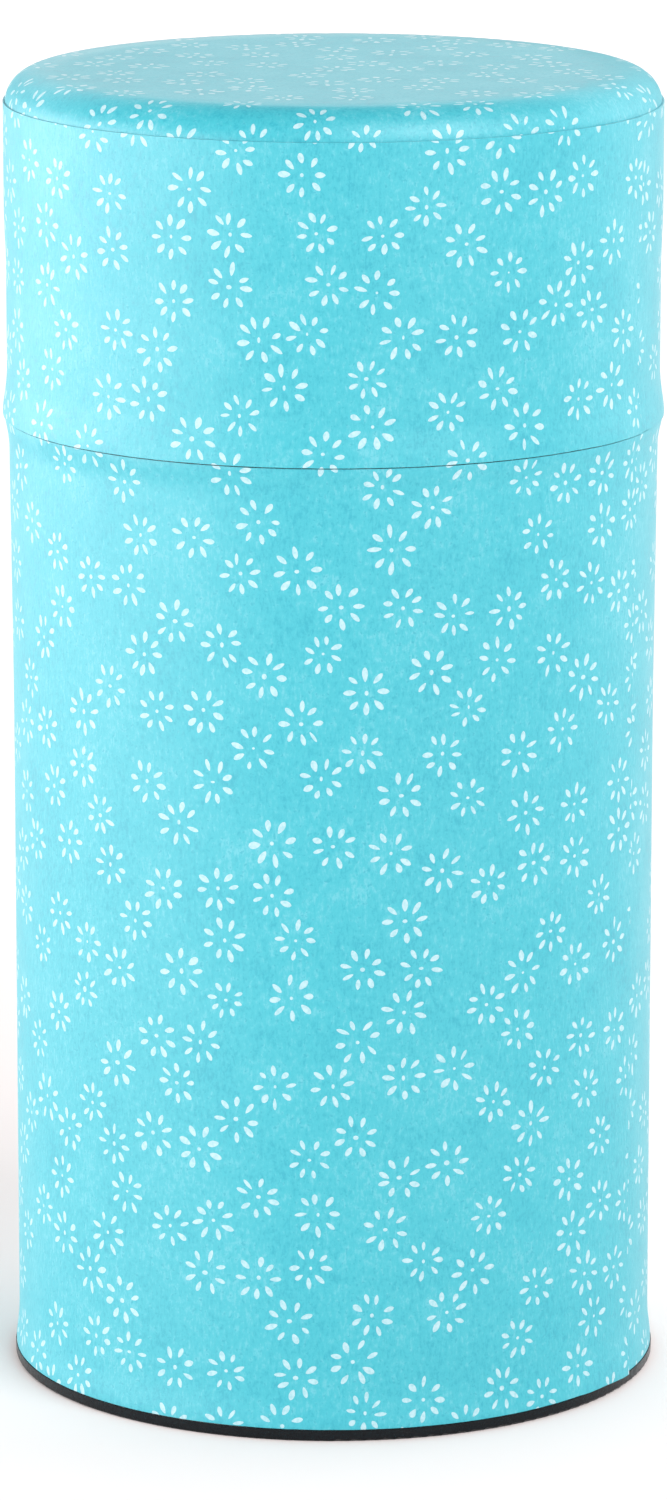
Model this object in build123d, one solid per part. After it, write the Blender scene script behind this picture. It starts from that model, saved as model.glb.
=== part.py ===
from build123d import *
import os

# Paper-covered tinplate tea canister with a slip-over outer lid and a plug-in inner lid.
# Millimetres, +Z up, origin at the centre of the base. Profiles are (radius, height) pairs.

# Sheet stock and clearances
TIN = 0.3                    # tinplate thickness
PAPER = 0.2                  # paper thickness
NEST_GAP = 0.02              # radial gap between nested pieces of one assembly
HEM = 2 * TIN + 0.04         # width of an edge folded back on itself
HEM_RADIUS = 0.31            # outer radius of each corner of a folded edge

# Body, measured on the outside of the tinplate
WALL_RADIUS = 39.8           # plain tube
SWELL_RADIUS = 40.1          # where the neck sleeve swells the tube
MOUTH_RADIUS = 40.68         # flared edge at the joint
FOOT_RADIUS = 40.2           # flared edge over the bottom end
TUBE_LOW_Z = 0.4             # lower edge of the tube, inside the rim
FOOT_BEND_Z = 2.1            # end of the straight foot
FOOT_TOP_Z = 5.6             # end of the foot flare
SWELL_LOW_Z = 86.0           # the tube starts to widen
SWELL_HIGH_Z = 118.2         # the tube starts to flare
JOINT_Z = 121.0              # where lid and body meet
JOINT_GAP = 0.2              # gap between the lid's edge and the body's edge
MOUTH_HEM_DROP = 0.9         # length of the body's folded edge
FOOT_BEND = 5.0              # bend radii, from the foot up
PAPER_FOOT_BEND = 2.0
FOOT_FLARE_BEND = 20.0
SWELL_BEND = 1500.0
MOUTH_BEND = 8.0

# Bottom end
RIM_HEIGHT = 1.4             # visible height of the black rim
PANEL_TOP_Z = 2.5            # upper face of the countersunk panel
RIM_CORNER = 0.34            # outer corner radius of the rim
PANEL_CORNER = 0.5           # corner radius between chuck wall and panel
PAPER_LOW_Z = 1.5            # lower edge of the body paper

# Neck sleeve
SLEEVE_LOW_Z = 88.0
SLEEVE_LOW_RADIUS = 39.49    # outside radius at its lower end, deep in the tube
NECK_RADIUS = 39.78          # outside radius of the standing neck
NECK_TOP_Z = 149.0
CURL_WIDTH = 1.0             # width of the inward curl at the neck's top
CURL_DROP = 0.8
CURL_RADIUS = 0.45
SLEEVE_BEND = 300.0

# Lap seams on the inside of the rolled walls
SEAM_ANGLE = 6.0             # degrees
SEAM_HEIGHT = 0.25           # how far a seam stands proud of the wall
SEAM_ROOT = 0.05             # how far it is sunk into the wall
SEAM_START = 150.0           # degrees from +X
TUBE_SEAM_LOW_Z = 6.6
TUBE_SEAM_HIGH_Z = 78.0
NECK_SEAM_LOW_Z = 120.2
NECK_SEAM_HIGH_Z = 146.0

# Outer lid, measured on the outside of the tinplate
LID_RADIUS = 40.3
LID_MOUTH_RADIUS = 40.85     # widest part, at the lid's lower edge
LID_MOUTH_BEND_Z = 121.8
LID_FLARE_TOP_Z = 125.6
LID_HEM_TOP_Z = 123.2
LID_HEM_LEAN = 0.2           # how far the folded edge leans in at its top
BAND_TOP_Z = 157.8
TOP_Z = 163.6                # highest point, on the paper
TOP_CORNER = 4.1             # radius of the rounded top edge, on the paper
JOGGLE_TOP_Z = 158.6
JOGGLE_LOW_Z = 157.9
PLATE_SKIRT_Z = 151.0
FLANGE_LOW_Z = 147.0         # lower edge of the turned-down top paper
BULGE_LOW_Z = 140.0          # the side paper starts to climb over that flange
BULGE_TOP_Z = 146.4
SIDE_PAPER_TOP_Z = 159.9
LID_MOUTH_BEND = 2.0         # bend radii
LID_FLARE_BEND = 6.0
LID_HEM_BEND = 1.0
BULGE_BEND = 20.0
JOGGLE_BEND = 0.4

# Inner lid
PLUG_RADIUS = 38.5           # outside of the skirt
PLUG_LOW_Z = 140.5
BEAD_RADIUS = 39.3           # outside of the bead that rests on the neck
BEAD_LOW_Z = 149.2
PANEL_Z = 150.2              # upper face of the centre and of the edge
TRAY_Z = 149.5               # upper face of the sunk ring
BOSS_RADIUS = 11.0
TRAY_INNER = 12.0
TRAY_OUTER = 34.0
EDGE_INNER = 35.0
EMBOSS_RADIUS = 0.5
BEAD_CORNER = 0.35
HOLE_CUT = 1.2               # height of the cutter for the shank's hole

# Knob, washer and rivet
SHANK_RADIUS = 1.5
SHANK_HOLE = 1.6
BORE_RADIUS = 1.52
BORE_DEPTH = 4.0
SHANK_TIP_GAP = 0.3          # space above the shank in the knob's bore
KNOB_FOOT_RADIUS = 4.6
KNOB_FOOT_HEIGHT = 0.9
KNOB_WAIST_RADIUS = 3.5
KNOB_WAIST_HEIGHT = 2.6
KNOB_CAP_RADIUS = 8.2
KNOB_CAP_HEIGHT = 5.2        # underside of the cap's edge
KNOB_EDGE = 1.3              # thickness of the cap's edge
KNOB_EDGE_SWELL = KNOB_EDGE / 3
KNOB_HEIGHT = 8.8
KNOB_CROWN_FLAT = 0.6        # radius of the flat spot in the middle of the crown
KNOB_FOOT_CORNER = 0.2
KNOB_FOOT_FILLET = 0.4
KNOB_WAIST_FILLET = 1.2
WASHER_RADIUS = 4.2
WASHER_THICKNESS = 0.5
RIVET_HEAD_RADIUS = 3.0
RIVET_HEAD_HEIGHT = 1.0
RIVET_HEAD_FLAT = 0.5        # radius of the flat spot in the middle of the head

ORIGIN_AXIS = Axis.Z


def turned(profile):
    """Solid of revolution of a face drawn in (radius, height)."""
    return revolve(Plane.XZ * profile, axis=ORIGIN_AXIS)


def sheet(path, radii, thickness, side):
    """Thin pressed or rolled sheet, one face of which follows the rounded path."""
    face_line = FilletPolyline(*path, radius=radii)
    outline = offset(face_line, amount=thickness, side=side, closed=True)
    return turned(make_face(outline))


def lap_seam(wall_radius, low_z, high_z):
    """Raised strip along the inside of a rolled wall, where its edges overlap."""
    width = SEAM_HEIGHT + SEAM_ROOT
    center = (wall_radius + SEAM_ROOT - width / 2, (low_z + high_z) / 2)
    profile = Plane.XZ * Pos(*center) * Rectangle(width, high_z - low_z)
    strip = revolve(profile, axis=ORIGIN_AXIS, revolution_arc=SEAM_ANGLE)
    return Rot(0, 0, SEAM_START) * strip


def body_wall(low_z):
    """Outside of the body's tinplate, from the given height up to the joint, and its radii."""
    path = [
        (FOOT_RADIUS, low_z),
        (FOOT_RADIUS, FOOT_BEND_Z),
        (WALL_RADIUS, FOOT_TOP_Z),
        (WALL_RADIUS, SWELL_LOW_Z),
        (SWELL_RADIUS, SWELL_HIGH_Z),
        (MOUTH_RADIUS, JOINT_Z - JOINT_GAP / 2),
    ]
    radii = [FOOT_BEND, FOOT_FLARE_BEND, SWELL_BEND, MOUTH_BEND]
    return path, radii


def body_tube():
    path, radii = body_wall(TUBE_LOW_Z)
    edge_z = JOINT_Z - JOINT_GAP / 2
    flare = (MOUTH_RADIUS - SWELL_RADIUS) / (edge_z - SWELL_HIGH_Z)
    path += [
        (MOUTH_RADIUS - HEM, edge_z),
        (MOUTH_RADIUS - HEM - flare * MOUTH_HEM_DROP, edge_z - MOUTH_HEM_DROP),
    ]
    wall = sheet(path, radii + [HEM_RADIUS, HEM_RADIUS], TIN, Side.LEFT)
    return wall + lap_seam(WALL_RADIUS - TIN, TUBE_SEAM_LOW_Z, TUBE_SEAM_HIGH_Z)


def body_paper():
    path, radii = body_wall(PAPER_LOW_Z)
    return sheet(path, [PAPER_FOOT_BEND] + radii[1:], PAPER, Side.RIGHT)


def bottom_end():
    chuck_radius = FOOT_RADIUS - 2 * TIN
    path = [
        (FOOT_RADIUS + TIN, RIM_HEIGHT),
        (FOOT_RADIUS + TIN, 0),
        (chuck_radius, 0),
        (chuck_radius, PANEL_TOP_Z - TIN),
        (0, PANEL_TOP_Z - TIN),
    ]
    return sheet(path, [RIM_CORNER, RIM_CORNER, PANEL_CORNER], TIN, Side.RIGHT)


def neck_sleeve():
    path = [
        (SLEEVE_LOW_RADIUS, SLEEVE_LOW_Z),
        (NECK_RADIUS, SWELL_HIGH_Z),
        (NECK_RADIUS, NECK_TOP_Z),
        (NECK_RADIUS - CURL_WIDTH, NECK_TOP_Z),
        (NECK_RADIUS - CURL_WIDTH, NECK_TOP_Z - CURL_DROP),
    ]
    wall = sheet(path, [SLEEVE_BEND, CURL_RADIUS, CURL_RADIUS], TIN, Side.LEFT)
    return wall + lap_seam(NECK_RADIUS - TIN, NECK_SEAM_LOW_Z, NECK_SEAM_HIGH_Z)


def lid_wall(top_z):
    """Outside of the lid's tinplate from its lower edge up, and its radii."""
    path = [
        (LID_MOUTH_RADIUS, JOINT_Z + JOINT_GAP / 2),
        (LID_MOUTH_RADIUS, LID_MOUTH_BEND_Z),
        (LID_RADIUS, LID_FLARE_TOP_Z),
        (LID_RADIUS, top_z),
    ]
    return path, [LID_MOUTH_BEND, LID_FLARE_BEND]


def lid_band():
    path, radii = lid_wall(BAND_TOP_Z)
    edge_z = JOINT_Z + JOINT_GAP / 2
    inner = LID_MOUTH_RADIUS - HEM
    hem = [
        (inner - LID_HEM_LEAN, LID_HEM_TOP_Z),
        (inner, LID_MOUTH_BEND_Z),
        (inner, edge_z),
    ]
    hem_radii = [LID_HEM_BEND, HEM_RADIUS, HEM_RADIUS]
    return sheet(hem + path, hem_radii + radii, TIN, Side.LEFT)


def lid_side_paper():
    path, radii = lid_wall(BULGE_LOW_Z)
    bulged = LID_RADIUS + PAPER + NEST_GAP
    path += [(bulged, BULGE_TOP_Z), (bulged, SIDE_PAPER_TOP_Z)]
    return sheet(path, radii + [BULGE_BEND, BULGE_BEND], PAPER, Side.RIGHT)


def lid_top_plate():
    skirt = LID_RADIUS - TIN - NEST_GAP
    top = TOP_Z - PAPER
    path = [
        (0, top),
        (LID_RADIUS, top),
        (LID_RADIUS, JOGGLE_TOP_Z),
        (skirt, JOGGLE_LOW_Z),
        (skirt, PLATE_SKIRT_Z),
    ]
    return sheet(path, [TOP_CORNER - PAPER, JOGGLE_BEND, JOGGLE_BEND], TIN, Side.RIGHT)


def lid_top_paper():
    radius = LID_RADIUS + PAPER
    path = [(0, TOP_Z), (radius, TOP_Z), (radius, FLANGE_LOW_Z)]
    return sheet(path, [TOP_CORNER], PAPER, Side.RIGHT)


def inner_lid_pan():
    path = [
        (0, PANEL_Z),
        (BOSS_RADIUS, PANEL_Z),
        (TRAY_INNER, TRAY_Z),
        (TRAY_OUTER, TRAY_Z),
        (EDGE_INNER, PANEL_Z),
        (BEAD_RADIUS, PANEL_Z),
        (BEAD_RADIUS, BEAD_LOW_Z),
        (PLUG_RADIUS, BEAD_LOW_Z),
        (PLUG_RADIUS, PLUG_LOW_Z),
    ]
    radii = [EMBOSS_RADIUS] * 4 + [BEAD_CORNER] * 3
    pan = sheet(path, radii, TIN, Side.RIGHT)
    return pan - Pos(0, 0, PANEL_Z) * Cylinder(SHANK_HOLE, HOLE_CUT)


def inner_lid_knob():
    foot_z = PANEL_Z + NEST_GAP
    top_z = foot_z + KNOB_HEIGHT
    stem = FilletPolyline(
        (0, foot_z),
        (KNOB_FOOT_RADIUS, foot_z),
        (KNOB_FOOT_RADIUS, foot_z + KNOB_FOOT_HEIGHT),
        (KNOB_WAIST_RADIUS, foot_z + KNOB_WAIST_HEIGHT),
        (KNOB_CAP_RADIUS, foot_z + KNOB_CAP_HEIGHT),
        radius=[KNOB_FOOT_CORNER, KNOB_FOOT_FILLET, KNOB_WAIST_FILLET],
    )
    edge = ThreePointArc(
        (KNOB_CAP_RADIUS, foot_z + KNOB_CAP_HEIGHT),
        (KNOB_CAP_RADIUS + KNOB_EDGE_SWELL, foot_z + KNOB_CAP_HEIGHT + KNOB_EDGE / 2),
        (KNOB_CAP_RADIUS, foot_z + KNOB_CAP_HEIGHT + KNOB_EDGE),
    )
    dome = TangentArc(
        (KNOB_CROWN_FLAT, top_z),
        (KNOB_CAP_RADIUS, foot_z + KNOB_CAP_HEIGHT + KNOB_EDGE),
        tangent=(1, 0),
    )
    middle = Polyline((KNOB_CROWN_FLAT, top_z), (0, top_z), (0, foot_z))
    knob = turned(make_face([stem, edge, dome, middle]))
    return knob - Pos(0, 0, foot_z) * Cylinder(BORE_RADIUS, 2 * BORE_DEPTH)


def knob_washer():
    top_z = PANEL_Z - TIN - NEST_GAP
    ring = Circle(WASHER_RADIUS) - Circle(SHANK_HOLE)
    return extrude(Pos(0, 0, top_z - WASHER_THICKNESS) * ring, WASHER_THICKNESS)


def knob_rivet():
    head_z = PANEL_Z - TIN - WASHER_THICKNESS - 2 * NEST_GAP
    low_z = head_z - RIVET_HEAD_HEIGHT
    tip_z = PANEL_Z + NEST_GAP + BORE_DEPTH - SHANK_TIP_GAP
    head = TangentArc((RIVET_HEAD_FLAT, low_z), (RIVET_HEAD_RADIUS, head_z), tangent=(1, 0))
    shank = Polyline(
        (RIVET_HEAD_RADIUS, head_z),
        (SHANK_RADIUS, head_z),
        (SHANK_RADIUS, tip_z),
        (0, tip_z),
        (0, low_z),
        (RIVET_HEAD_FLAT, low_z),
    )
    return turned(make_face([head, shank]))


SUB_PARTS = [
    body_tube,
    bottom_end,
    neck_sleeve,
    body_paper,
    lid_band,
    lid_top_plate,
    lid_side_paper,
    lid_top_paper,
    inner_lid_pan,
    inner_lid_knob,
    knob_washer,
    knob_rivet,
]

os.makedirs("parts", exist_ok=True)
for make in SUB_PARTS:
    export_step(make(), f"parts/{make.__name__}.step")
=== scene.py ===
import math
import random

import bpy
import numpy as np
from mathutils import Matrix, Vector
from mathutils.bvhtree import BVHTree
from mathutils.geometry import delaunay_2d_cdt


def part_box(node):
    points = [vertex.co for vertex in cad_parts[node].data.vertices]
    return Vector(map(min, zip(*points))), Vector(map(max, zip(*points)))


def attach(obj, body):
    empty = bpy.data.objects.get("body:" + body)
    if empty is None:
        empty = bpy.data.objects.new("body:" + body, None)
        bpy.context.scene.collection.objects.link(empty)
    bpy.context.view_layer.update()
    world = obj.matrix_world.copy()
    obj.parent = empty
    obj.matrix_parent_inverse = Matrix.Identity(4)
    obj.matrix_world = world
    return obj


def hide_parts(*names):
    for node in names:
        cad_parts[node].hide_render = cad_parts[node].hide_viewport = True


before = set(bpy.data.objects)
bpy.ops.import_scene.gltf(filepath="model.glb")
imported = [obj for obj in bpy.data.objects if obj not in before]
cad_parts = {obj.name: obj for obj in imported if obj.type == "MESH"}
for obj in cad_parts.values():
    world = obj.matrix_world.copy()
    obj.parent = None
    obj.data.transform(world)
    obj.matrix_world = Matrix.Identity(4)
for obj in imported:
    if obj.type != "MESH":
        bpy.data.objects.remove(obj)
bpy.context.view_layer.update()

MM = 0.001                      # lengths below are in millimetres unless a name ends in _M

# Paper
PAPER = 0.2                     # thickness
GLUE = 0.02                     # space between two layers at the overlap
UNROLL_RADIUS = 40.2            # radius at which the wrap is measured flat
SEAM_AZIMUTH = math.radians(66)  # of the wrap's visible end, from the front to the right
OVERLAP = 9.0                   # how far the end lies over the start
OVERLAP_RAMP = 4.0              # the end climbs on to the start over this much
CORNER_SAG = 0.3                # the end's lower corner hangs over the rim
CORNER_REACH = 7.0              # length of edge that sags
EDGE_WAVER = 0.012              # unevenness of a knife-cut edge
EDGE_OVER = 0.03                # wraps reach this much past the CAD paper's edges
TOP_EASE = 4.0                  # the top's shading starts to turn this far before its rounded edge
TOP_EASE_POWER = 1.5

# Points of the sheets' meshes
EDGE_STEP = 1.0                 # spacing along a cut edge
GRID_STEP = 2.0                 # spacing inside a sheet
FINE_STEP = 0.8                 # the same where the wall flares
FIRST_ROW = 0.6                 # the lowest row's distance from the lower edge
LAST_ROW = 1.2                  # rows stop at about this distance from the upper edge
FOOT_FLARE = 7.0                # heights of the fine stretches: above the body's lower edge,
BODY_FLARE = 4.0                # below the joint,
LID_FLARE = 6.0                 # and above it
INSIDE_ONLY = 1                 # the triangulation keeps what is inside the outlines
CUT_TOLERANCE = 1e-5
PROBE_STEP = 0.1                # a CAD wall's radius is read at heights this far apart,
PROBE_INSET = 0.02              # and no closer to its ends than this
PROBE_ASIDE_M = 1e-6            # keeps the reading line off the mesh's own edges
SLOPE_REACH = 0.05              # the wall's slope is taken over this much up and down

# Places on the texture map, whose sides are 1
MAP_EDGE = 0.005                # free strip at the left and the right
WRAP_FRONT_MAP = (0.14, 0.995)  # heights of a wrap's front,
WRAP_BACK_MAP = (0.03, 0.12)    # and of its back
RIM_MAP = 0.01                  # the cut edges share a strip this high, at the foot
DISC_FRONT_MAP = (0.5, 0.51), 0.485    # middle and radius of the disc's front,
DISC_BACK_MAP = (0.925, 0.935), 0.06   # and of its back

# Printed flowers
PETALS = 8
PETAL_POINTS = 12
PETAL_LENGTH = 1.34
PETAL_WIDTH = 0.62
PETAL_RADIUS = 2.02             # from the flower's middle to the petal's middle
DOT_RADIUS = 0.25
DOT_POINTS = 8
FLOWER_RADIUS = 3.2             # everything printed is within this
NEAREST = 5.75                  # least distance between two flowers
TOP_SPREAD = 1.1                # distances on the lid's top are this much larger
STEP_RANGE = (6.1, 7.6)         # from one flower to the next in a chain
CROWD_RADIUS = 8.2              # flowers within this are neighbours
CROWD_LIMIT = 2                 # neighbours that a flower may join
GROWTH_TRIES = 60               # places tried for the next flower of a chain
PRINT_SEED = 11
TOP_SEED = PRINT_SEED + 1
TOP_PRINT_OVER = 12             # the top's print reaches this far past the lid's radius
SEED_STRIDE = 10007             # keeps the seeds of the two prints' flowers apart
PRINT_MARGIN = 3.0              # the print runs on past the sheet's edges


# ---------------------------------------------------------------- flowers

def scatter_flowers(low, high, seed, spread=1.0):
    """Flower centres in a rectangle, grown as wandering chains that leave gaps between them."""
    rng = random.Random(seed)
    reach = CROWD_RADIUS * spread
    cells = {}
    centers = []
    crowd = []

    def cell(point):
        return int(point[0] // reach), int(point[1] // reach)

    def neighbours(point):
        i, j = cell(point)
        near = []
        for di in (-1, 0, 1):
            for dj in (-1, 0, 1):
                near += cells.get((i + di, j + dj), [])
        gaps = [(math.dist(point, centers[k]), k) for k in near]
        return [(gap, k) for gap, k in gaps if gap < reach]

    def fits(point):
        inside = all(a <= p <= b for a, p, b in zip(low, point, high))
        if not inside:
            return False
        near = neighbours(point)
        if len(near) > CROWD_LIMIT or any(gap < NEAREST * spread for gap, _ in near):
            return False
        return all(crowd[k] <= CROWD_LIMIT for _, k in near)

    def add(point):
        near = neighbours(point)
        for _, k in near:
            crowd[k] += 1
        cells.setdefault(cell(point), []).append(len(centers))
        centers.append(point)
        crowd.append(len(near))

    def grow(start):
        for _ in range(GROWTH_TRIES):
            angle = rng.uniform(0, math.tau)
            step = rng.uniform(*STEP_RANGE) * spread
            point = (start[0] + step * math.cos(angle), start[1] + step * math.sin(angle))
            if fits(point):
                add(point)
                return True
        return False

    add(tuple((a + b) / 2 for a, b in zip(low, high)))
    active = [0]
    while active:
        tip = rng.choice(active) if rng.random() < 0.5 else active[-1]
        if grow(centers[tip]):
            active.append(len(centers) - 1)
        else:
            active.remove(tip)
    return centers


def petal_outline(rng, angle):
    """One brushed petal, about the flower's middle."""
    length = PETAL_LENGTH * rng.gauss(1, 0.09)
    width = PETAL_WIDTH * rng.gauss(1, 0.12)
    away = PETAL_RADIUS + rng.gauss(0, 0.09)
    lean = rng.gauss(0, math.radians(7))
    taper = rng.gauss(0.14, 0.12)
    points = []
    for k in range(PETAL_POINTS):
        t = math.tau * k / PETAL_POINTS
        along = length / 2 * math.cos(t)
        across = width / 2 * math.sin(t) * (1 + taper * math.cos(t))
        point = 1 + 0.035 * math.cos(4 * t)
        x = away + point * (along * math.cos(lean) - across * math.sin(lean))
        y = point * (along * math.sin(lean) + across * math.cos(lean))
        points.append((
            x * math.cos(angle) - y * math.sin(angle),
            x * math.sin(angle) + y * math.cos(angle),
        ))
    return points


def dot_outline(rng):
    """The dot in a flower's middle."""
    radius = DOT_RADIUS * rng.gauss(1, 0.16)
    squash = rng.gauss(1, 0.12)
    x0, y0 = rng.gauss(0, 0.06), rng.gauss(0, 0.06)
    points = []
    for k in range(DOT_POINTS):
        t = math.tau * k / DOT_POINTS
        points.append((x0 + radius * squash * math.cos(t), y0 + radius / squash * math.sin(t)))
    return points


def flower_outlines(center, rng):
    turn = rng.uniform(0, math.tau / PETALS)
    size = rng.gauss(1, 0.05)
    shapes = [dot_outline(rng)]
    for k in range(PETALS):
        angle = turn + math.tau * k / PETALS + rng.gauss(0, math.radians(3.5))
        shapes.append(petal_outline(rng, angle))
    return [[(center[0] + size * x, center[1] + size * y) for x, y in shape] for shape in shapes]


def printed_shapes(centers, seed, low, high):
    """Outlines of every petal and dot that comes near a sheet's extent."""
    shapes = []
    for k, center in enumerate(centers):
        near = all(a - FLOWER_RADIUS < c < b + FLOWER_RADIUS for a, c, b in zip(low, center, high))
        if near:
            shapes += flower_outlines(center, random.Random(seed * SEED_STRIDE + k))
    return shapes


# ---------------------------------------------------------------- sheets of paper

def triangulate(outline, shapes, grid):
    """Triangles of a flat sheet, with the printed shapes cut into it.

    Returns the points, the triangles, whether each one is printed, and for each outline point
    its place among the points."""
    points = list(outline)
    loops = [list(range(len(outline)))]
    for shape in shapes:
        start = len(points)
        points += shape
        loops.append(list(range(start, len(points))))
    points += grid
    flat = [Vector(p) for p in points]
    found = delaunay_2d_cdt(flat, [], loops, INSIDE_ONLY, CUT_TOLERANCE, True)
    triangles, printed = [], []
    for corners, parents in zip(found[2], found[5]):
        if 0 in parents:
            triangles.append(tuple(corners))
            printed.append(len(parents) > 1)
    place = {}
    for index, parents in enumerate(found[3]):
        for parent in parents:
            if parent < len(outline):
                place[parent] = index
    return np.array([tuple(p) for p in found[0]]), triangles, printed, place


def border(triangles):
    """The points round the edge of a sheet, in order."""
    sides = set()
    for a, b, c in triangles:
        sides |= {(a, b), (b, c), (c, a)}
    after = {a: b for a, b in sides if (b, a) not in sides}
    start = min(after)
    loop = [start]
    while after[loop[-1]] != start:
        loop.append(after[loop[-1]])
    return loop


def sheet_mesh(name, outline, shapes, grid, surface, charts):
    """A closed sheet of paper. surface(points, depth) gives places and outward normals.
    charts(points, side) gives map coordinates for the "front" and the "back"."""
    flat, triangles, printed, _ = triangulate(outline, shapes, grid)
    loop = border(triangles)
    rim = [tuple(flat[k]) for k in loop]
    back_flat, back_triangles, _, back_place = triangulate(rim, [], grid)
    back_loop = [back_place[k] for k in range(len(rim))]

    front, front_normals = surface(flat, 0.0)
    back, back_normals = surface(back_flat, PAPER)
    used = sorted({k for t in triangles for k in t})
    renumber = {k: i for i, k in enumerate(used)}
    shift = len(used)
    places = np.vstack([front[used], back])

    faces, slots, normals, coords = [], [], [], []
    front_map, back_map = charts(flat, "front"), charts(back_flat, "back")
    for corners, ink in zip(triangles, printed):
        faces.append([renumber[k] for k in corners])
        slots.append(1 if ink else 0)
        normals += [front_normals[k] for k in corners]
        coords += [front_map[k] for k in corners]
    for corners in back_triangles:
        turned = corners[::-1]
        faces.append([shift + k for k in turned])
        slots.append(2)
        normals += [-back_normals[k] for k in turned]
        coords += [back_map[k] for k in turned]
    count = len(loop)
    for k in range(count):
        after = (k + 1) % count
        a, b = loop[k], loop[after]
        c, d = back_loop[after], back_loop[k]
        face = [renumber[a], shift + d, shift + c, renumber[b]]
        across = places[face[1]] - places[face[0]]
        along = places[face[3]] - places[face[0]]
        normal = np.cross(across, along)
        normal /= max(np.linalg.norm(normal), 1e-12)
        faces.append(face)
        slots.append(0)
        normals += [normal] * 4
        left, right = k / count, (k + 1) / count
        coords += [(left, 0.0), (left, RIM_MAP), (right, RIM_MAP), (right, 0.0)]

    mesh = bpy.data.meshes.new(name)
    mesh.from_pydata(places.tolist(), [], faces)
    mesh.polygons.foreach_set("material_index", slots)
    mesh.polygons.foreach_set("use_smooth", [True] * len(faces))
    layer = mesh.uv_layers.new(name="OFBake")
    layer.uv.foreach_set("vector", np.array(coords, dtype=np.float32).ravel())
    mesh.update()
    mesh.normals_split_custom_set([tuple(n) for n in normals])
    piece = bpy.data.objects.new(name, mesh)
    bpy.context.scene.collection.objects.link(piece)
    return piece


def spaced(low, high, step):
    """Evenly spaced values strictly between two limits."""
    count = max(1, round((high - low) / step))
    return [low + (high - low) * k / count for k in range(1, count)]


def outer_radius(node):
    """A function that gives a round CAD wall's outside radius at a height."""
    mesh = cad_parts[node].data
    tree = BVHTree.FromPolygons([v.co for v in mesh.vertices], [p.vertices for p in mesh.polygons])
    low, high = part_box(node)
    heights = np.arange(low.z / MM + PROBE_INSET, high.z / MM - PROBE_INSET, PROBE_STEP)
    radii = []
    for z in heights:
        hit = tree.ray_cast(Vector((1, PROBE_ASIDE_M, z * MM)), Vector((-1, 0, 0)))[0]
        radii.append(hit.x / MM)
    return lambda z: np.interp(z, heights, radii)


def smooth_step(t):
    t = np.clip(t, 0, 1)
    return t * t * (3 - 2 * t)


WRAP_END = SEAM_AZIMUTH * UNROLL_RADIUS
WRAP_START = WRAP_END - math.tau * UNROLL_RADIUS - OVERLAP


def wrap_surface(radius_at):
    """Rolls a flat wrap, (distance round, height), on to an upright wall."""
    def surface(points, depth):
        around, height = points[:, 0], points[:, 1]
        angle = around / UNROLL_RADIUS
        climb = smooth_step((around - (WRAP_END - OVERLAP - OVERLAP_RAMP)) / OVERLAP_RAMP)
        radius = radius_at(height) + (PAPER + GLUE) * climb - depth
        rise = radius_at(height + SLOPE_REACH) - radius_at(height - SLOPE_REACH)
        slope = rise / (2 * SLOPE_REACH)
        out = np.stack([np.sin(angle), -np.cos(angle)], 1)
        places = np.column_stack([out * radius[:, None], height]) * MM
        normals = np.column_stack([out, -slope])
        return places, normals / np.linalg.norm(normals, axis=1)[:, None]
    return surface


def wrap_charts(low, high):
    """Spreads the front of a wrap over most of the map, and its back over a strip."""
    def charts(points, side):
        u = (points[:, 0] - WRAP_START) / (WRAP_END - WRAP_START)
        v = (points[:, 1] - low) / (high - low)
        bottom, top = WRAP_FRONT_MAP if side == "front" else WRAP_BACK_MAP
        across = MAP_EDGE + (1 - 2 * MAP_EDGE) * u.clip(0, 1)
        return np.stack([across, bottom + (top - bottom) * v.clip(-0.01, 1.01)], 1)
    return charts


def wrap_outline(low, high, sags, rng):
    """The cut edge of a wrap, anticlockwise."""
    def waver():
        return rng.uniform(-EDGE_WAVER, EDGE_WAVER)

    around = [WRAP_START, *spaced(WRAP_START, WRAP_END, EDGE_STEP), WRAP_END]
    upright = spaced(low, high, EDGE_STEP)
    bottom = []
    for u in around:
        sag = CORNER_SAG * float(smooth_step(1 - (WRAP_END - u) / CORNER_REACH)) if sags else 0
        bottom.append((u, low + waver() - sag))
    right = [(WRAP_END + waver(), v) for v in upright]
    top = [(u, high + waver()) for u in reversed(around)]
    left = [(WRAP_START + waver(), v) for v in reversed(upright)]
    return bottom + right + top + left


def wrap_grid(low, high, fine_bands):
    """Points inside a wrap, closer together where the wall flares."""
    rows = [low + FIRST_ROW]
    while rows[-1] < high - LAST_ROW:
        fine = any(a <= rows[-1] <= b for a, b in fine_bands)
        rows.append(rows[-1] + (FINE_STEP if fine else GRID_STEP))
    columns = spaced(WRAP_START, WRAP_END, GRID_STEP)
    points = []
    for k, v in enumerate(rows):
        nudge = GRID_STEP / 4 * (1 if k % 2 else -1)
        points += [(u + nudge, v) for u in columns]
    return points


def paper_wrap(name, node, centers, sags, fine_bands):
    """The paper round an upright wall, in place of its CAD node."""
    low, high = (corner.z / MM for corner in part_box(node))
    radius_at = outer_radius(node)
    shapes = printed_shapes(centers, PRINT_SEED, (WRAP_START, low - 1), (WRAP_END, high))
    outline = wrap_outline(low - EDGE_OVER, high + EDGE_OVER, sags, random.Random(name))
    grid = wrap_grid(low, high, fine_bands)
    return sheet_mesh(name, outline, shapes, grid, wrap_surface(radius_at), wrap_charts(low, high))


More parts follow.
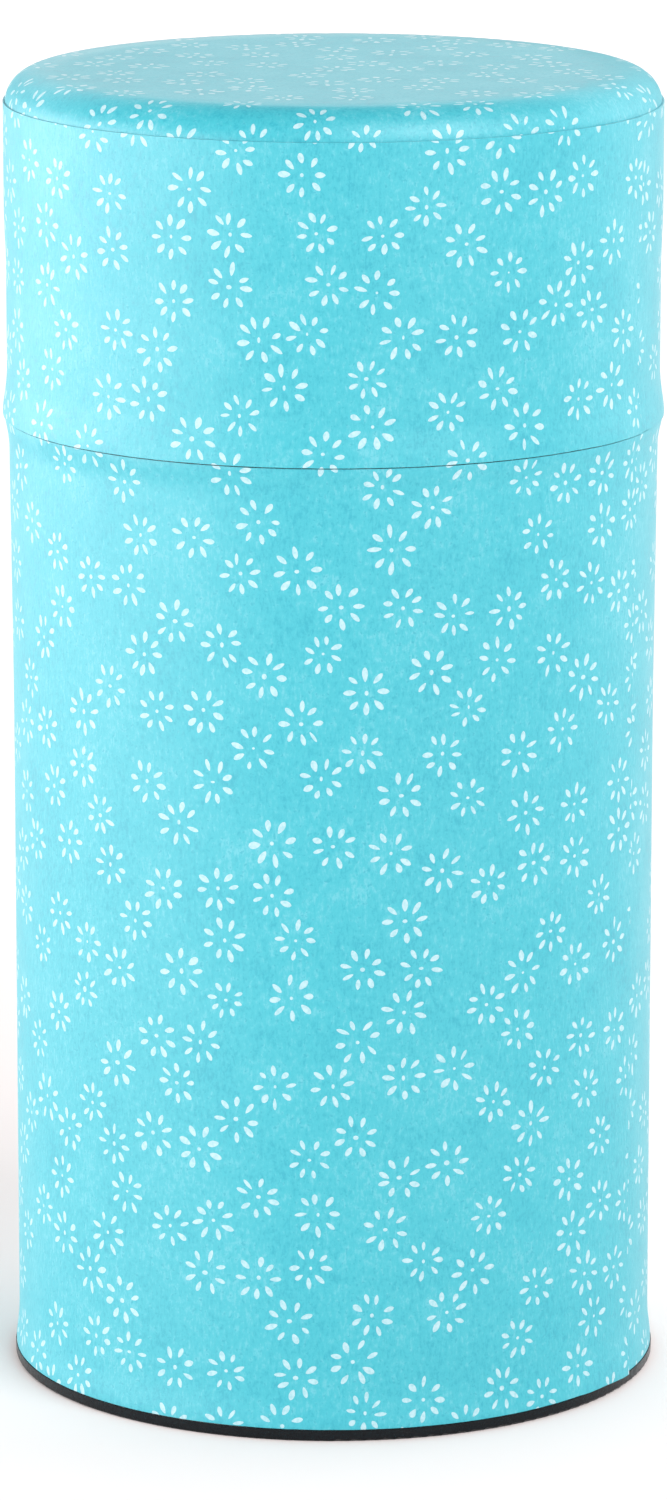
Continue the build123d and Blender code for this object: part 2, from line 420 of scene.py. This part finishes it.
def disc_surface(flat_radius, corner, top):
    """Turns the rim of a flat disc down over a rounded edge."""
    def surface(points, depth):
        reach = np.hypot(points[:, 0], points[:, 1])
        way = points / np.maximum(reach, 1e-9)[:, None]
        turn = np.clip((reach - flat_radius) / corner, 0, math.pi / 2)
        drop = np.maximum(reach - flat_radius - corner * math.pi / 2, 0)
        bend = corner - depth
        radius = np.minimum(reach, flat_radius) + bend * np.sin(turn)
        height = top - corner + bend * np.cos(turn) - drop
        places = np.column_stack([way * radius[:, None], height]) * MM
        ease = np.clip((reach - flat_radius + TOP_EASE) / (corner * math.pi / 2 + TOP_EASE), 0, 1)
        lean = math.pi / 2 * ease ** TOP_EASE_POWER
        normals = np.column_stack([way * np.sin(lean)[:, None], np.cos(lean)])
        return places, normals
    return surface


def disc_charts(limit):
    """The front of the disc fills the map; its back is a small copy in a corner."""
    def charts(points, side):
        middle, size = DISC_FRONT_MAP if side == "front" else DISC_BACK_MAP
        return np.array(middle) + points / limit * size
    return charts


def paper_disc(name, node, centers):
    """The paper on the lid's top, turned down over its edge, in place of its CAD node."""
    low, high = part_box(node)
    top, outer = high.z / MM, high.x / MM
    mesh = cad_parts[node].data
    on_top = [v.co for v in mesh.vertices if high.z - v.co.z < 1e-6]
    flat_radius = max(math.hypot(c.x, c.y) for c in on_top) / MM
    corner = outer - flat_radius
    limit = flat_radius + corner * math.pi / 2 + (top - corner - low.z / MM)
    around = round(math.tau * limit / (2 * EDGE_STEP))
    outline = []
    for k in range(around):
        a = math.tau * k / around
        outline.append((limit * math.cos(a), limit * math.sin(a)))
    rings = [*spaced(0, flat_radius, GRID_STEP), flat_radius]
    rings += spaced(flat_radius, flat_radius + corner * math.pi / 2, FINE_STEP / 1.5)
    rings += spaced(flat_radius + corner * math.pi / 2, limit, GRID_STEP)
    grid = [(0.0, 0.0)]
    for k, ring in enumerate(rings):
        count = max(8, round(math.tau * ring / GRID_STEP))
        for m in range(count):
            a = math.tau * (m + 0.5 * (k % 2)) / count
            grid.append((ring * math.cos(a), ring * math.sin(a)))
    shapes = []
    for k, center in enumerate(centers):
        if math.hypot(*center) < limit - FLOWER_RADIUS - 1:
            shapes += flower_outlines(center, random.Random(TOP_SEED * SEED_STRIDE + k))
    surface = disc_surface(flat_radius, corner, top)
    return sheet_mesh(name, outline, shapes, grid, surface, disc_charts(limit))


# ---------------------------------------------------------------- materials

PAPER_IOR = 1.78                # smooth, calendered paper has a broad gloss
PAPER_SHEEN = 0.15
SHEEN_ROUGHNESS = 0.4
DYE_SHADES = (0.0, 0.345, 0.445), (0.022, 0.425, 0.51), (0.092, 0.48, 0.565)
INK_SHADES = (0.43, 0.64, 0.69), (0.3, 0.56, 0.62)
BACK_SHADES = (0.72, 0.8, 0.78), (0.83, 0.86, 0.82)
TIN_SHADES = (0.5, 0.5, 0.49), (0.6, 0.605, 0.6)
LACQUER_SHADES = (0.002, 0.004, 0.006), (0.01, 0.009, 0.009)
KNOB_SHADES = (0.5, 0.5, 0.5), (0.62, 0.62, 0.62)
RIVET_SHADES = (0.45, 0.45, 0.45), (0.58, 0.58, 0.58)
LATHE_LINES = 26000.0           # radians of the lathe's ring pattern per metre of radius


def new_material(name):
    material = bpy.data.materials.new(name)
    material.use_nodes = True
    nodes = material.node_tree.nodes
    return material, nodes, material.node_tree.links, nodes["Principled BSDF"]


def object_space(nodes, links, stretch=(1, 1, 1)):
    """Positions on the object, in metres, stretched along its axes."""
    coords = nodes.new("ShaderNodeTexCoord")
    mapping = nodes.new("ShaderNodeMapping")
    mapping.inputs["Scale"].default_value = stretch
    links.new(coords.outputs["Object"], mapping.inputs["Vector"])
    return mapping.outputs["Vector"]


def noise(nodes, links, vector, size_mm, detail=3.0, roughness=0.55, distortion=0.0):
    """A noise whose blotches are about size_mm across."""
    node = nodes.new("ShaderNodeTexNoise")
    node.inputs["Scale"].default_value = 1000 / size_mm
    node.inputs["Detail"].default_value = detail
    node.inputs["Roughness"].default_value = roughness
    node.inputs["Distortion"].default_value = distortion
    links.new(vector, node.inputs["Vector"])
    return node.outputs["Fac"]


def span(nodes, links, value, low, high, out_low=0.0, out_high=1.0):
    """Maps a value from one range to another, smoothly and clamped."""
    node = nodes.new("ShaderNodeMapRange")
    node.interpolation_type = "SMOOTHSTEP"
    node.inputs["From Min"].default_value = low
    node.inputs["From Max"].default_value = high
    node.inputs["To Min"].default_value = out_low
    node.inputs["To Max"].default_value = out_high
    links.new(value, node.inputs["Value"])
    return node.outputs["Result"]


def mix_colors(nodes, links, factor, first, second):
    """Blends two colours, each given as a socket or as (r, g, b)."""
    node = nodes.new("ShaderNodeMix")
    node.data_type = "RGBA"
    links.new(factor, node.inputs["Factor"])
    for socket, color in ((node.inputs[6], first), (node.inputs[7], second)):
        if isinstance(color, tuple):
            socket.default_value = (*color, 1)
        else:
            links.new(color, socket)
    return node.outputs[2]


def combine(nodes, links, operation, first, second):
    """Arithmetic on two values, each a socket or a number."""
    node = nodes.new("ShaderNodeMath")
    node.operation = operation
    for socket, value in ((node.inputs[0], first), (node.inputs[1], second)):
        if isinstance(value, (int, float)):
            socket.default_value = value
        else:
            links.new(value, socket)
    return node.outputs[0]


def bump(nodes, links, shader, height, depth_mm, strength=1.0):
    node = nodes.new("ShaderNodeBump")
    node.inputs["Strength"].default_value = strength
    node.inputs["Distance"].default_value = depth_mm * MM
    links.new(height, node.inputs["Height"])
    links.new(node.outputs["Normal"], shader.inputs["Normal"])


def paper_gloss(shader):
    """The printed side's soft shine."""
    shader.inputs["IOR"].default_value = PAPER_IOR
    shader.inputs["Sheen Weight"].default_value = PAPER_SHEEN
    shader.inputs["Sheen Roughness"].default_value = SHEEN_ROUGHNESS


def paper_relief(nodes, links):
    """The height of long fibres and pulp lumps in handmade-type paper."""
    plain = object_space(nodes, links)
    tall = object_space(nodes, links, (1, 1, 0.3))
    pulp = noise(nodes, links, plain, 0.8, 4, 0.6)
    strands = noise(nodes, links, tall, 0.35, 3, 0.6, 0.6)
    return combine(nodes, links, "ADD", pulp, strands)


def washi():
    """Dyed paper: clouds of dye, darker specks and paler strands."""
    material, nodes, links, shader = new_material("washi_cyan")
    deep, middle, pale = DYE_SHADES
    space = object_space(nodes, links)
    tall = object_space(nodes, links, (1, 1, 0.35))
    cloud = noise(nodes, links, space, 8, 3, 0.6)
    mottle = noise(nodes, links, space, 0.9, 5, 0.72, 0.3)
    strand = noise(nodes, links, tall, 0.34, 3, 0.65, 0.5)
    speck = noise(nodes, links, space, 0.45, 1, 0.5)
    tone = combine(nodes, links, "MULTIPLY", cloud, 0.24)
    tone = combine(nodes, links, "ADD", tone, combine(nodes, links, "MULTIPLY", mottle, 0.4))
    tone = combine(nodes, links, "ADD", tone, combine(nodes, links, "MULTIPLY", strand, 0.36))
    shade = mix_colors(nodes, links, span(nodes, links, tone, 0.38, 0.5), deep, middle)
    shade = mix_colors(nodes, links, span(nodes, links, tone, 0.5, 0.62), shade, pale)
    dark = span(nodes, links, speck, 0.62, 0.74, 0.0, 0.8)
    links.new(mix_colors(nodes, links, dark, shade, deep), shader.inputs["Base Color"])
    links.new(span(nodes, links, mottle, 0.3, 0.7, 0.44, 0.56), shader.inputs["Roughness"])
    paper_gloss(shader)
    bump(nodes, links, shader, paper_relief(nodes, links), 0.03)
    return material


def printing_ink():
    """Opaque white ink that sinks into the paper a little."""
    material, nodes, links, shader = new_material("white_ink")
    space = object_space(nodes, links)
    thin = noise(nodes, links, space, 0.45, 3, 0.6)
    color = mix_colors(nodes, links, span(nodes, links, thin, 0.35, 0.7), *INK_SHADES)
    links.new(color, shader.inputs["Base Color"])
    links.new(span(nodes, links, thin, 0.3, 0.7, 0.46, 0.58), shader.inputs["Roughness"])
    paper_gloss(shader)
    bump(nodes, links, shader, paper_relief(nodes, links), 0.025)
    return material


def paper_back():
    """The undyed back of the paper."""
    material, nodes, links, shader = new_material("paper_back")
    space = object_space(nodes, links)
    pulp = noise(nodes, links, space, 2, 4, 0.6)
    color = mix_colors(nodes, links, span(nodes, links, pulp, 0.35, 0.65), *BACK_SHADES)
    links.new(color, shader.inputs["Base Color"])
    shader.inputs["Roughness"].default_value = 0.8
    bump(nodes, links, shader, paper_relief(nodes, links), 0.03)
    return material


def tinplate():
    """Bright rolled tinplate: fine lines round the wall, faint blotches and handling marks."""
    material, nodes, links, shader = new_material("tinplate_bright")
    lines = object_space(nodes, links, (1, 1, 30))
    space = object_space(nodes, links)
    rolling = noise(nodes, links, lines, 4, 3, 0.6)
    bloom = noise(nodes, links, space, 14, 3, 0.6, 0.5)
    marks = noise(nodes, links, space, 3, 5, 0.7, 1.0)
    color = mix_colors(nodes, links, span(nodes, links, bloom, 0.35, 0.65), *TIN_SHADES)
    links.new(color, shader.inputs["Base Color"])
    rough = combine(nodes, links, "ADD", span(nodes, links, marks, 0.4, 0.75, 0.2, 0.36),
                    span(nodes, links, rolling, 0.3, 0.7, 0.0, 0.08))
    links.new(rough, shader.inputs["Roughness"])
    shader.inputs["Metallic"].default_value = 1.0
    bump(nodes, links, shader, rolling, 0.006)
    return material


def bottom_finish():
    """Black lacquer with fine rubbing marks, and bare tin on the panel's upper face, inside."""
    material, nodes, links, shader = new_material("lacquer_black")
    lines = object_space(nodes, links, (1, 1, 12))
    space = object_space(nodes, links)
    height = nodes.new("ShaderNodeSeparateXYZ")
    links.new(space, height.inputs[0])
    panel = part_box("bottom_end")[1].z
    inside = span(nodes, links, height.outputs["Z"], panel - 0.2 * MM, panel - 0.1 * MM)
    rubbed = noise(nodes, links, lines, 2.5, 4, 0.65)
    dust = noise(nodes, links, space, 0.7, 3, 0.6)
    black = mix_colors(nodes, links, span(nodes, links, rubbed, 0.5, 0.8), *LACQUER_SHADES)
    bare = mix_colors(nodes, links, span(nodes, links, dust, 0.35, 0.65), *TIN_SHADES)
    links.new(mix_colors(nodes, links, inside, black, bare), shader.inputs["Base Color"])
    links.new(inside, shader.inputs["Metallic"])
    links.new(span(nodes, links, dust, 0.35, 0.75, 0.22, 0.4), shader.inputs["Roughness"])
    shader.inputs["Specular IOR Level"].default_value = 0.22
    bump(nodes, links, shader, dust, 0.01)
    return material


def turned_metal(name, shades, rough):
    """Satin aluminium with the fine rings that a lathe leaves."""
    material, nodes, links, shader = new_material(name)
    space = object_space(nodes, links)
    radius = nodes.new("ShaderNodeVectorMath")
    radius.operation = "LENGTH"
    flat = object_space(nodes, links, (1, 1, 0))
    links.new(flat, radius.inputs[0])
    phase = combine(nodes, links, "MULTIPLY", radius.outputs["Value"], LATHE_LINES)
    rings = combine(nodes, links, "SINE", phase, 0.0)
    smear = noise(nodes, links, space, 2.5, 4, 0.65)
    color = mix_colors(nodes, links, span(nodes, links, smear, 0.35, 0.65), *shades)
    links.new(color, shader.inputs["Base Color"])
    links.new(span(nodes, links, smear, 0.3, 0.7, rough, rough + 0.12), shader.inputs["Roughness"])
    shader.inputs["Metallic"].default_value = 1.0
    bump(nodes, links, shader, rings, 0.004)
    return material


def dress(node, material):
    """Gives a CAD node a better material."""
    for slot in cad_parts[node].material_slots:
        slot.material = material


# ---------------------------------------------------------------- pieces

def make_papers():
    wall_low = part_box("body_paper")[0].z / MM
    wall_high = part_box("lid_side_paper")[1].z / MM
    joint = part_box("body_paper")[1].z / MM
    low = (WRAP_START - PRINT_MARGIN, wall_low - PRINT_MARGIN)
    high = (WRAP_END + PRINT_MARGIN, wall_high + PRINT_MARGIN)
    centers = scatter_flowers(low, high, PRINT_SEED)
    body_bands = [(0, wall_low + FOOT_FLARE), (joint - BODY_FLARE, joint)]
    lid_bands = [(joint, joint + LID_FLARE)]
    body = paper_wrap("body_washi", "body_paper", centers, True, body_bands)
    side = paper_wrap("lid_side_washi", "lid_side_paper", centers, False, lid_bands)
    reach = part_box("lid_top_paper")[1].x / MM + TOP_PRINT_OVER
    top_centers = scatter_flowers((-reach, -reach), (reach, reach), TOP_SEED, TOP_SPREAD)
    top = paper_disc("lid_top_washi", "lid_top_paper", top_centers)

    finishes = [washi(), printing_ink(), paper_back()]
    for piece, node, rider in (
        (body, "body_paper", "canister"),
        (side, "lid_side_paper", "outer_lid"),
        (top, "lid_top_paper", "outer_lid"),
    ):
        for finish in finishes:
            piece.data.materials.append(finish)
        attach(piece, rider)
        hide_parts(node)


def dress_metal():
    tin = tinplate()
    for node in ("body_tube", "neck_sleeve", "lid_band", "lid_top_plate", "inner_lid_pan", "knob_washer"):
        dress(node, tin)
    dress("bottom_end", bottom_finish())
    dress("inner_lid_knob", turned_metal("knob_satin", KNOB_SHADES, 0.24))
    dress("knob_rivet", turned_metal("rivet_satin", RIVET_SHADES, 0.3))


# ---------------------------------------------------------------- stage

CAMERA_DISTANCE = 904.0         # from the object's axis
CAMERA_HEIGHT = 276.8
AIM_HEIGHT = 77.8
LENS = 177.0
SENSOR = 36.0
CLIP_START_M = 0.01
WORLD = 0.46                    # strength of the even light all round
FLOOR_SIZE = 4000.0
FLOOR_COLOR = (0.865, 0.79, 0.778, 1)
FLOOR_GLOW = 0.05
SWEEP_Y = 1400.0                # middle of the brighter floor behind the object
SWEEP_HEIGHT = 1000.0           # of the light above it


def make_camera():
    data = bpy.data.cameras.new("camera")
    data.lens = LENS
    data.sensor_width = SENSOR
    data.clip_start = CLIP_START_M
    camera = bpy.data.objects.new("camera", data)
    bpy.context.scene.collection.objects.link(camera)
    camera.location = Vector((0, -CAMERA_DISTANCE, CAMERA_HEIGHT)) * MM
    aim = Vector((0, 0, AIM_HEIGHT)) * MM
    camera.rotation_euler = (aim - camera.location).to_track_quat("-Z", "Y").to_euler()
    bpy.context.scene.camera = camera


def around(azimuth, elevation, distance):
    """A place seen from the object in a direction. The azimuth is from the front to the right."""
    turn, rise = math.radians(azimuth), math.radians(elevation)
    way = Vector((math.cos(rise) * math.sin(turn), -math.cos(rise) * math.cos(turn), math.sin(rise)))
    return Vector((0, 0, AIM_HEIGHT)) + way * distance


def soft_box(name, place, aim, width, height, radiance):
    """A rectangular soft light."""
    data = bpy.data.lights.new(name, "AREA")
    data.shape = "RECTANGLE"
    data.size, data.size_y = width * MM, height * MM
    data.energy = radiance * math.pi * width * height * MM * MM
    light = bpy.data.objects.new(name, data)
    bpy.context.scene.collection.objects.link(light)
    light.location = place * MM
    light.rotation_euler = (aim - place).to_track_quat("-Z", "Y").to_euler()


def make_floor():
    half = FLOOR_SIZE / 2 * MM
    mesh = bpy.data.meshes.new("floor")
    corners = [(-half, -half, 0), (half, -half, 0), (half, half, 0), (-half, half, 0)]
    mesh.from_pydata(corners, [], [(0, 1, 2, 3)])
    floor = bpy.data.objects.new("floor", mesh)
    bpy.context.scene.collection.objects.link(floor)
    material, nodes, links, shader = new_material("floor_white")
    shader.inputs["Base Color"].default_value = FLOOR_COLOR
    shader.inputs["Emission Color"].default_value = (1, 1, 1, 1)
    shader.inputs["Emission Strength"].default_value = FLOOR_GLOW
    shader.inputs["Roughness"].default_value = 0.9
    shader.inputs["Specular IOR Level"].default_value = 0.1
    mesh.materials.append(material)


def make_light():
    world = bpy.data.worlds.new("studio")
    bpy.context.scene.world = world
    world.use_nodes = True
    background = world.node_tree.nodes["Background"]
    background.inputs["Color"].default_value = (1, 1, 1, 1)
    background.inputs["Strength"].default_value = WORLD
    middle = Vector((0, 0, AIM_HEIGHT))
    sweep = Vector((0, SWEEP_Y, 0))
    over_sweep = sweep + Vector((0, 0, SWEEP_HEIGHT))
    soft_box("left_box", around(-84, 5, 760), middle, 1700, 300, 5.5)
    soft_box("right_box", around(112, 16, 900), middle, 700, 520, 2.4)
    soft_box("front_box", around(36, 33, 1300), middle, 900, 700, 6.7)
    soft_box("sweep_box", over_sweep, sweep, 3000, 1400, 1.6)


def main():
    make_papers()
    dress_metal()
    make_floor()
    make_light()
    make_camera()
    bpy.context.scene.view_settings.view_transform = "Standard"


main()
